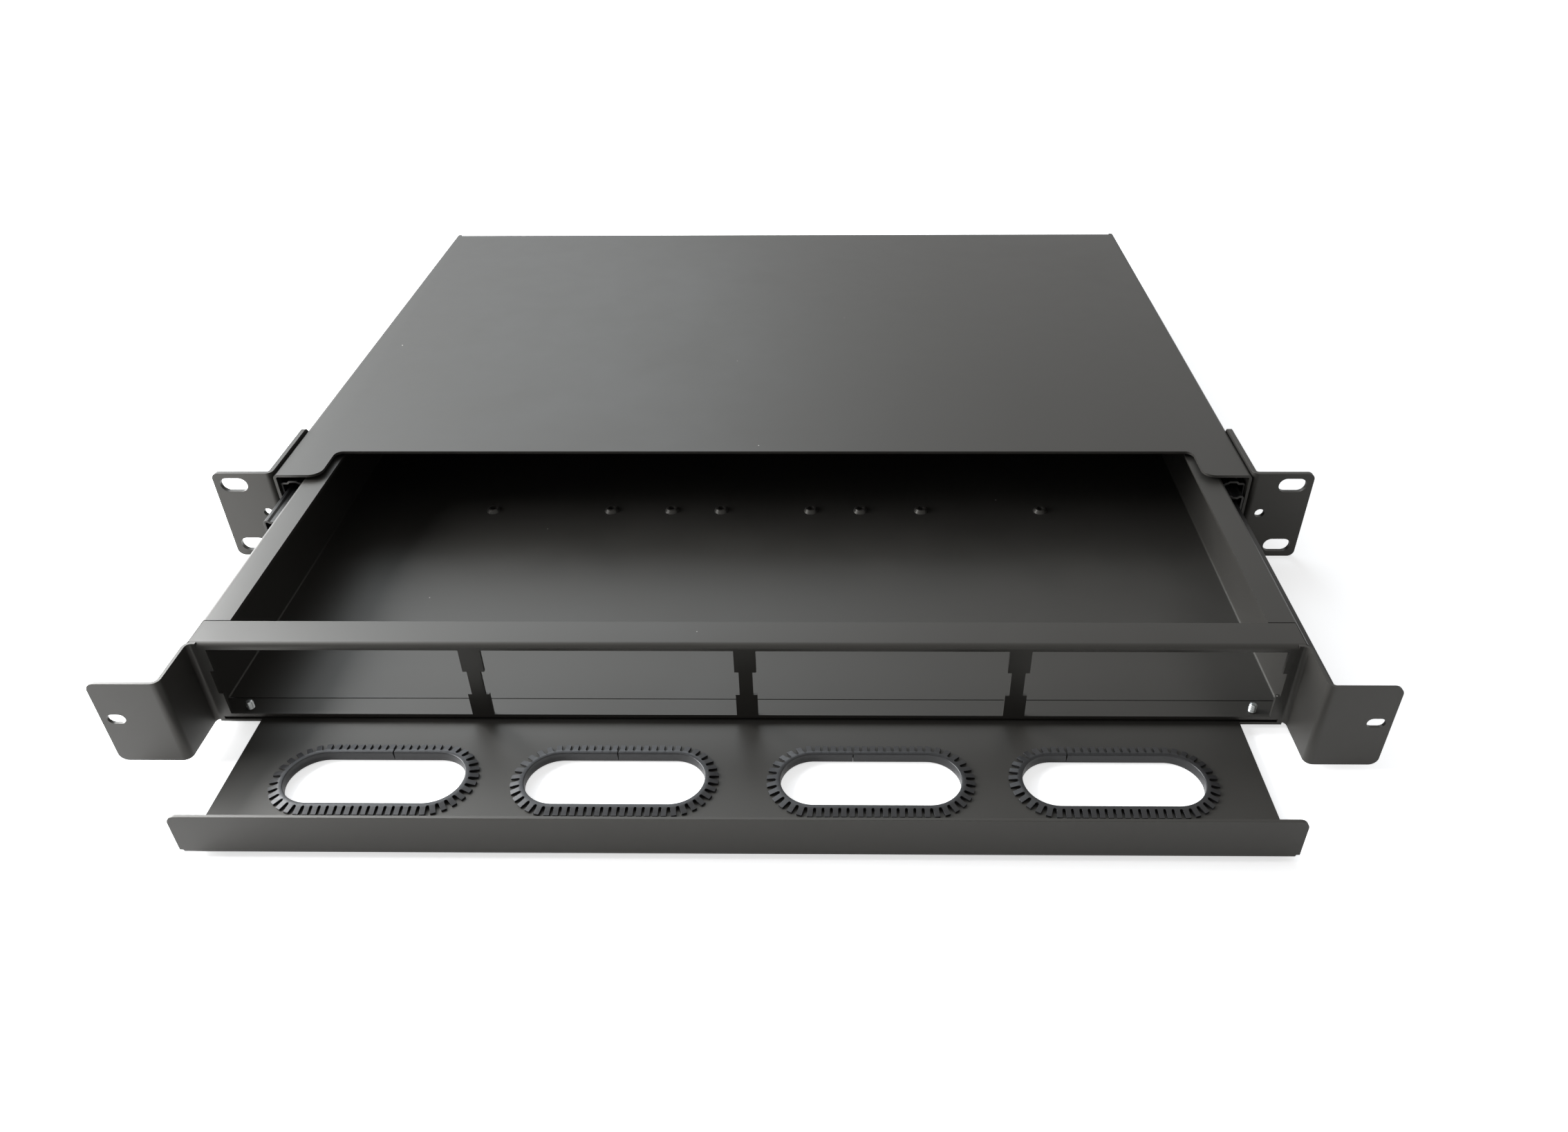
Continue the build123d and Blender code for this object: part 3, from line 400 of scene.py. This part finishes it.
def round_edges(node, material, radius):
    """A copy of a CAD node with its sharp edges rounded to a radius in mm, as paint and tumbling leave them.

    First the copy's coincident corners are merged, its flat faces joined, and its stored normals and map dropped.
    """
    mesh = frame["nodes"][node].data.copy()
    shape = bmesh.new()
    shape.from_mesh(mesh)
    bmesh.ops.remove_doubles(shape, verts=shape.verts, dist=SOURCE_MERGE * MM)
    bmesh.ops.dissolve_limit(shape, angle_limit=math.radians(FLAT_ANGLE), verts=shape.verts, edges=shape.edges)
    shape.to_mesh(mesh)
    shape.free()
    for name in ("custom_normal", "UVMap"):
        if name in mesh.attributes:
            mesh.attributes.remove(mesh.attributes[name])
    mesh.shade_smooth()
    piece = new_object("finished_" + node, mesh)
    soften(piece, radius, segments=3, sharp_angle=SHEET_SHARP_ANGLE)
    place_piece(piece, node, material)


for node in ("top_cover", "base_pan", "drawer_tray", "front_panel", "cable_plate"):
    round_edges(node, powder_coat, PANEL_ROUNDING)
for _, side in SIDES:
    round_edges(f"rack_ear_{side}", powder_coat, EAR_ROUNDING)
for _, side in SIDES:
    for member in ("outer", "middle", "inner"):
        round_edges(f"slide_{member}_{side}", slide_coat, SLIDE_ROUNDING)


def skin(name, rings, capped=False):
    """A piece whose quads join rings of points in mm, shaped (bodies, rings, points, 3), each ring to the next.

    Points that coincide are merged, and the quads that close to a line go with them.
    """
    bodies, count, size, _ = rings.shape
    index = np.arange(bodies * count * size).reshape(bodies, count, size)
    ahead = np.roll(index, -1, axis=2)
    faces = np.stack([index[:, :-1], index[:, 1:], ahead[:, 1:], ahead[:, :-1]], axis=-1).reshape(-1, 4).tolist()
    if capped:
        faces += index[:, 0].tolist() + index[:, -1].tolist()
    mesh = bpy.data.meshes.new(name)
    mesh.from_pydata((rings.reshape(-1, 3) * MM).tolist(), [], faces)
    shape = bmesh.new()
    shape.from_mesh(mesh)
    bmesh.ops.remove_doubles(shape, verts=shape.verts, dist=PIECE_MERGE * MM)
    bmesh.ops.recalc_face_normals(shape, faces=shape.faces)
    shape.to_mesh(mesh)
    shape.free()
    mesh.shade_smooth()
    return new_object(name, mesh)


def along_opening(s):
    """Centre and outward normal at s mm along the edge of a cable opening, clockwise from its rear run's middle.

    The edge is a racetrack: C = (s, 0) and N = (0, 1) on a straight run, and C = (a, 0) and N = (sin t, cos t)
    round a bend, with t = (s - a) / R. The second half is the first turned by half a turn.
    """
    half_turns, along = np.divmod(EDGE_HALF_RUN + s, EDGE_HALF_LENGTH)
    sign = (1 - 2 * (half_turns % 2))[:, None]
    angle = np.maximum(along - 2 * EDGE_HALF_RUN, 0) / EDGE_RADIUS
    centre = np.stack([np.minimum(along, 2 * EDGE_HALF_RUN) - EDGE_HALF_RUN, 0 * angle], axis=-1)
    normal = np.stack([np.sin(angle), np.cos(angle)], axis=-1)
    return sign * centre, sign * normal


def edging_columns():
    """Columns of points along a strip: how far each is from the joint in mm, whether in a tooth, and its turn.

    A cell runs from one gap's middle to the next. Its columns stand at h sin a on the gap's sides, with h half
    the gap and a up to 90 degrees, and at the tooth's sides and middle. A column's turn is the place along the
    strip whose normal its tooth takes: the tooth's middle for a tooth, and for a gap's side a place that goes
    evenly from the gap's middle to the tooth's. Columns in the joint's gap move to the strip's cut ends.
    """
    h = EDGING_GAP / 2
    side = h * np.sin(np.radians(GAP_ANGLES))
    tooth = [h, EDGING_PITCH / 2, EDGING_PITCH - h]
    column = np.concatenate([side, tooth, EDGING_PITCH - side[:0:-1]])
    is_tooth = np.repeat([False, True, False], [len(side), len(tooth), len(side) - 1])
    is_tooth = np.append(np.tile(is_tooth, EDGING_TEETH), False)
    cell = np.arange(EDGING_TEETH)[:, None]
    s = np.append((cell * EDGING_PITCH + column).ravel(), 2 * EDGE_HALF_LENGTH)
    s = np.clip(s, EDGING_JOINT_GAP / 2, 2 * EDGE_HALF_LENGTH - EDGING_JOINT_GAP / 2)
    to_tooth = np.minimum(column / h, 1) / 2
    from_tooth = 1 - np.minimum((EDGING_PITCH - column) / h, 1) / 2
    turn = cell + np.where(column <= EDGING_PITCH / 2, to_tooth, from_tooth)
    return s, is_tooth, np.append(turn.ravel(), EDGING_TEETH) * EDGING_PITCH


def edging_section(s, is_tooth):
    """Section of a strip at each column: points (v, z), v outwards from the plate's edge, z from its mid-height.

    A gap has a round end at v = b + h - sqrt(h^2 - d^2), with b the band's width, h half the gap and d the
    distance from its middle. The top falls past the band at a slope, and the rim inside is a quarter round. The
    lower half mirrors the upper.
    """
    h = EDGING_GAP / 2
    from_gap = np.abs((s + EDGING_PITCH / 2) % EDGING_PITCH - EDGING_PITCH / 2)
    gap_end = EDGING_BAND + h - np.sqrt(np.maximum(h ** 2 - from_gap ** 2, 0))
    end = np.where(is_tooth, EDGING_BAND + EDGING_TOOTH_LENGTH, gap_end)
    middle = np.minimum(end, EDGING_BAND + h)
    plate = SHEET / 2
    top = plate + EDGING_FLANGE
    arc = np.radians(RIM_ANGLES)
    rim_v = -EDGING_WALL + EDGING_RIM * (1 - np.cos(arc))
    rim_z = top - EDGING_RIM * (1 - np.sin(arc))
    v = np.stack(np.broadcast_arrays(*rim_v, EDGING_BAND, middle, end, end, middle, 0), axis=1)
    z = np.tile([*rim_z, top, top, top, plate, plate, plate], (len(s), 1))
    fall = math.tan(math.radians(EDGING_SLOPE)) * np.maximum(v - EDGING_BAND, 0)
    z[:, :-3] -= fall[:, :-3]
    return np.concatenate([v, v[:, ::-1]], axis=1), np.concatenate([z, -z[:, ::-1]], axis=1)


def make_edging(number, centre_x, joint_x):
    """Castellated edging, moulded straight and pressed round a cable opening: a channel with teeth on both sides.

    The section's points follow the plate's edge: P = C + (R + min(v, b)) N + max(v - b, 0) T, with b the band's
    width and T the normal at the column's turn, so that a tooth's sides stay parallel. Under the plate both cut
    ends lean into the joint.
    """
    s, is_tooth, turn = edging_columns()
    v, z = edging_section(s, is_tooth)
    centre, normal = along_opening(joint_x + s)
    _, tooth_normal = along_opening(joint_x + turn)
    out = (EDGE_RADIUS + np.minimum(v, EDGING_BAND))[..., None] * normal[:, None]
    past = np.maximum(v - EDGING_BAND, 0)[..., None] * tooth_normal[:, None]
    flat = centre[:, None] + out + past + (centre_x, OPENING_Y)
    height = z + PLATE_BOTTOM + SHEET / 2
    flat[0, z[0] < 0, 0] -= EDGING_JOINT_CLOSING
    flat[-1, z[-1] < 0, 0] += EDGING_JOINT_CLOSING
    rings = np.concatenate([flat, height[..., None]], axis=-1)[None]
    node = f"edging_strip_{number}"
    piece = skin("finished_" + node, rings, capped=True)
    soften(piece, EDGING_ROUNDING)
    place_piece(piece, node, nylon)


def turned(profile, sides, places, outward, deform=None):
    """Rings of a turned body at each place: X = r cos t, Y = r sin t, Z = z, with Z along its outward direction.

    The profile's points are (r, z). Deform takes r, t and z and gives them back changed.
    """
    r, z = np.asarray(profile, dtype=float).T[:, :, None]
    t = np.linspace(0, 2 * np.pi, sides, endpoint=False)[None]
    r, t, z = np.broadcast_arrays(r, t, z)
    if deform:
        r, t, z = deform(r, t, z)
    up = np.asarray(outward, dtype=float)
    first = np.roll(up, 1, axis=1)
    second = np.cross(up, first)
    body = np.stack([r * np.cos(t), r * np.sin(t), z], axis=-1)
    axes = np.stack([first, second, up], axis=1)
    return np.asarray(places, dtype=float)[:, None, None] + np.einsum("psk,bkc->bpsc", body, axes)


def make_screws(node, places, outward):
    """Countersunk screws with a cross recess and a cut thread.

    Down the shank the radius is R - depth * |2 u - 1|, with u the fraction of z / pitch - t / 2 pi, which is a
    V thread, faded out in the head and cut to a chamfer at the tip. In the head's face the recess is
    depth * clip((w - min(|x|, |y|)) / e) * clip((l - max(|x|, |y|)) / e), a cross of half width w and half
    length l with steep ends.
    """
    head_radius, shank_radius, length, pitch = SCREW_SIZES[node]
    head_height = head_radius - shank_radius
    round_head = head_radius * math.cos(math.pi / SOURCE_SCREW_SIDES)
    face = [(r, -BELOW_FACE) for r in np.linspace(0, round_head - HEAD_RIM_WIDTH, HEAD_RINGS)]
    cone = [(round_head, -BELOW_FACE - HEAD_RIM_DROP), (shank_radius, -head_height)]
    shank_rings = int(length / pitch * RINGS_IN_PITCH)
    shank = [(shank_radius, z) for z in np.linspace(-head_height, -length, shank_rings)]
    tip = [(shank_radius - THREAD_DEPTH, -length), (0, -length)]
    half_width, half_length = RECESS_HALF_WIDTH * head_radius, RECESS_HALF_LENGTH * head_radius

    def cut(r, t, z):
        """Sinks the recess into the face and cuts the thread and the chamfer into the shank."""
        x, y = np.abs(r * np.cos(t)), np.abs(r * np.sin(t))
        across = np.clip((half_width - np.minimum(x, y)) / RECESS_WALL, 0, 1)
        along = np.clip((half_length - np.maximum(x, y)) / RECESS_END, 0, 1)
        in_face = z > -BELOW_FACE - HEAD_RIM_DROP / 2
        sunk = np.where(in_face, z - RECESS_DEPTH * across * along, z)
        u = (z / pitch - t / (2 * np.pi)) % 1
        fade = np.clip((-z - head_height) / pitch, 0, 1)
        thread = r - THREAD_DEPTH * fade * np.abs(2 * u - 1)
        chamfer = shank_radius - THREAD_CHAMFER + (z + length)
        in_shank = np.maximum(np.minimum(thread, chamfer), 0)
        return np.where(z < -head_height, in_shank, r), t, sunk

    rings = turned(face + cone + shank + tip, ROUND_SIDES, places, outward, cut)
    place_piece(skin("finished_" + node, rings), node, zinc)


def make_rivets(node, places, outward, length):
    """Domed rivets: the head's height is H sqrt(1 - (r / R)^2) over a flat underside, as a flattened ball."""
    slopes = np.radians(np.linspace(90, 0, RIVET_RINGS))
    dome = [(RIVET_HEAD_RADIUS * math.cos(a), RIVET_HEAD_HEIGHT * math.sin(a)) for a in slopes]
    end = -length + BELOW_FACE
    rest = [(RIVET_SHANK_RADIUS, 0), (RIVET_SHANK_RADIUS, end), (0, end)]
    rings = turned(dome + rest, ROUND_SIDES, places, outward)
    piece = skin("finished_" + node, rings)
    soften(piece, RIVET_ROUNDING)
    place_piece(piece, node, zinc)


def make_balls(ring, sign, side):
    """Bearing balls: r = R cos a and z = R sin a, for a from -90 to 90 degrees."""
    start, length, height, radius = BALL_SIZES[ring]
    slopes = np.radians(np.linspace(90, -90, BALL_RINGS))
    profile = [(radius * math.cos(a), radius * math.sin(a)) for a in slopes]
    row = [start + (i + 0.5) * length / BALLS_IN_ROW for i in range(BALLS_IN_ROW)]
    places = [(sign * BALL_X, y, z) for y in row for z in (-height, height)]
    node = f"balls_{ring}_{side}"
    piece = skin("finished_" + node, turned(profile, BALL_SIDES, places, [(0, 0, 1)] * len(places)))
    place_piece(piece, node, bearing_steel)


def make_grommet(number, x):
    """Rubber ring: its section, a grooved block with rounded corners, turned round the cable entry's axis."""
    half, bore, rim, groove = GROMMET_HALF_WIDTH, GROMMET_BORE_RADIUS, GROMMET_RIM_RADIUS, SHEET / 2
    near, far = GROMMET_BORE_CORNER, GROMMET_RIM_CORNER
    arc = np.radians(np.linspace(0, 90, CORNER_POINTS))
    inner = [(bore + near * (1 - math.cos(a)), half - near * (1 - math.sin(a))) for a in arc]
    outer = [(rim - far * (1 - math.sin(a)), half - far * (1 - math.cos(a))) for a in arc]
    upper = inner + outer + [(rim, groove), (GROMMET_HOLE_RADIUS, groove)]
    profile = upper + [(r, -z) for r, z in reversed(upper)] + upper[:1]
    node = f"cable_grommet_{number}"
    rings = turned(profile, GROMMET_SIDES, [(x, GROMMET_Y, GROMMET_Z)], [(0, 1, 0)])
    piece = skin("finished_" + node, rings)
    soften(piece, GROMMET_ROUNDING)
    place_piece(piece, node, rubber)


for number, (x, joint_x) in enumerate(zip(OPENING_X, EDGING_JOINT_X), 1):
    make_edging(number, x, joint_x)
for number, x in enumerate(GROMMET_X, 1):
    make_grommet(number, x)
for sign, side in SIDES:
    for ring in BALL_SIZES:
        make_balls(ring, sign, side)
        cage_slots = frame["nodes"][f"ball_cage_{ring}_{side}"].data.materials
        cage_slots.clear()
        cage_slots.append(strip_steel)

sideways = [(sign, 0, 0) for sign, _ in SIDES for _ in range(2)]
ear_places = [(sign * (WALL_OUTER_X + EAR_SHEET), EAR_SCREW_Y, z) for sign, _ in SIDES for z in EAR_SCREW_Z]
base_places = [(sign * BASE_SCREW_X, y, HOUSING_BOTTOM) for sign, _ in SIDES for y in BASE_SCREW_Y]
rear_places = [(sign * REAR_SCREW_X, HOUSING_REAR, REAR_SCREW_Z) for sign, _ in SIDES]
plate_places = [(sign * PLATE_SCREW_X, PLATE_SCREW_Y, PLATE_BOTTOM) for sign, _ in SIDES]
make_screws("ear_screws", ear_places, sideways)
make_screws("base_screws", base_places, [(0, 0, -1)] * len(base_places))
make_screws("rear_screws", rear_places, [(0, 1, 0)] * len(rear_places))
make_screws("plate_screws", plate_places, [(0, 0, -1)] * len(plate_places))
for node, x, row in (("housing_rivets", WALL_OUTER_X, HOUSING_RIVET_Y),
                     ("drawer_rivets", DRAWER_X + SLIDE_SHEET, DRAWER_RIVET_Y)):
    make_rivets(node, [(sign * x, y, 0) for sign, _ in SIDES for y in row], sideways, SHEET + SLIDE_SHEET)


# Floor, light and camera

def level_by_ray(tree, camera, gloss, plain):
    """One level for what the camera sees, one for what gloss and clear surfaces show, and one as light."""
    path = add(tree, "ShaderNodeLightPath")
    direct = add(tree, "ShaderNodeMath", {0: path.outputs["Is Camera Ray"]}, operation="MULTIPLY_ADD",
                 i1=camera - plain, i2=plain)
    shown = add(tree, "ShaderNodeMath", {0: path.outputs["Is Glossy Ray"], 1: path.outputs["Is Transmission Ray"]},
                operation="MAXIMUM")
    return add(tree, "ShaderNodeMath", {0: shown.outputs[0], 2: direct.outputs[0]}, operation="MULTIPLY_ADD",
               i1=gloss - plain).outputs[0]


def make_floor():
    """Plain pale floor just under the ears. Its lift shows as white where no shadow falls."""
    material, tree, output = new_material("pale_studio_floor")
    glow = add(tree, "ShaderNodeEmission", {"Strength": level_by_ray(tree, camera=0.64, gloss=0.40, plain=0.0)})
    paint = add(tree, "ShaderNodeBsdfDiffuse", Color=FLOOR_PAINT)
    both = add(tree, "ShaderNodeAddShader", {0: glow.outputs[0], 1: paint.outputs[0]})
    tree.links.new(both.outputs[0], output.inputs[0])
    z = cad_box[0].z - FLOOR_GAP * MM
    corners = [(x * FLOOR_HALF, y * FLOOR_HALF, z) for x, y in ((-1, -1), (1, -1), (1, 1), (-1, 1))]
    mesh = bpy.data.meshes.new("floor")
    mesh.from_pydata(corners, [], [(0, 1, 2, 3)])
    mesh.materials.append(material)
    floor = new_object("floor", mesh)


def make_world():
    """A white room: it is white where it is seen, and lights the object evenly at a plain level."""
    world = bpy.data.worlds.new("white_room")
    bpy.context.scene.world = world
    world.use_nodes = True
    tree = world.node_tree
    tree.nodes.clear()
    level = level_by_ray(tree, camera=1.0, gloss=0.8, plain=0.32)
    glow = add(tree, "ShaderNodeBackground", {"Strength": level}, Color=(1, 1, 1, 1))
    output = tree.nodes.new("ShaderNodeOutputWorld")
    tree.links.new(glow.outputs[0], output.inputs[0])


def make_softbox(name, azimuth, elevation, distance, size, watts, colour, aim):
    """A large soft lamp aimed at a point, in metres and degrees. Azimuth 0 is to the rear and 90 to the left."""
    lamp = bpy.data.lights.new(name, "AREA")
    lamp.shape = "RECTANGLE"
    lamp.size, lamp.size_y = size
    lamp.energy = watts
    lamp.color = colour
    a, e = math.radians(azimuth), math.radians(elevation)
    back = Vector((-math.sin(a) * math.cos(e), math.cos(a) * math.cos(e), math.sin(e)))
    thing = new_object(name, lamp)
    thing.location = Vector(aim) + distance * back
    thing.rotation_mode = "QUATERNION"
    thing.rotation_quaternion = (-back).to_track_quat("-Z", "Y")


def make_camera():
    """The camera fitted to the photographed object, its image centre moved by shift.

    Yaw turns it about Z, pitch tips it down from level and roll turns it about its own view.
    """
    camera = bpy.data.cameras.new("camera")
    camera.sensor_fit = "HORIZONTAL"
    camera.sensor_width = SENSOR_WIDTH_MM
    camera.lens = FOCAL_PIXELS / IMAGE_WIDTH * SENSOR_WIDTH_MM
    camera.shift_x = (IMAGE_WIDTH / 2 - CENTRE_PIXEL[0]) / IMAGE_WIDTH
    camera.shift_y = (CENTRE_PIXEL[1] - IMAGE_HEIGHT / 2) / IMAGE_WIDTH
    camera.clip_start = 0.01
    camera.clip_end = 50.0
    cp, sp = math.cos(CAMERA_PITCH), math.sin(CAMERA_PITCH)
    cy, sy = math.cos(CAMERA_YAW), math.sin(CAMERA_YAW)
    cr, sr = math.cos(CAMERA_ROLL), math.sin(CAMERA_ROLL)
    level_right = Vector((cy, sy, 0))
    level_up = Vector((-sy * sp, cy * sp, cp))
    ahead = Vector((-sy * cp, cy * cp, -sp))
    right = cr * level_right - sr * level_up
    up = sr * level_right + cr * level_up
    thing = new_object("camera", camera)
    turn = Matrix((right, up, -ahead)).transposed()
    thing.matrix_world = Matrix.Translation(Vector(CAMERA_PLACE_MM) * MM) @ turn.to_4x4()
    bpy.context.scene.camera = thing


make_floor()
make_world()
make_softbox("back_left_softbox", azimuth=37, elevation=42, distance=2.4, size=(2.6, 1.7), watts=38,
             colour=(0.86, 0.93, 1.0), aim=(0.0, 0.05, 0.0))
make_softbox("left_softbox", azimuth=81, elevation=26, distance=0.82, size=(0.8, 0.6), watts=35,
             colour=(0.97, 0.98, 1.0), aim=(-0.1, 0.0, 0.0))
make_camera()
bpy.context.scene.view_settings.view_transform = "Standard"
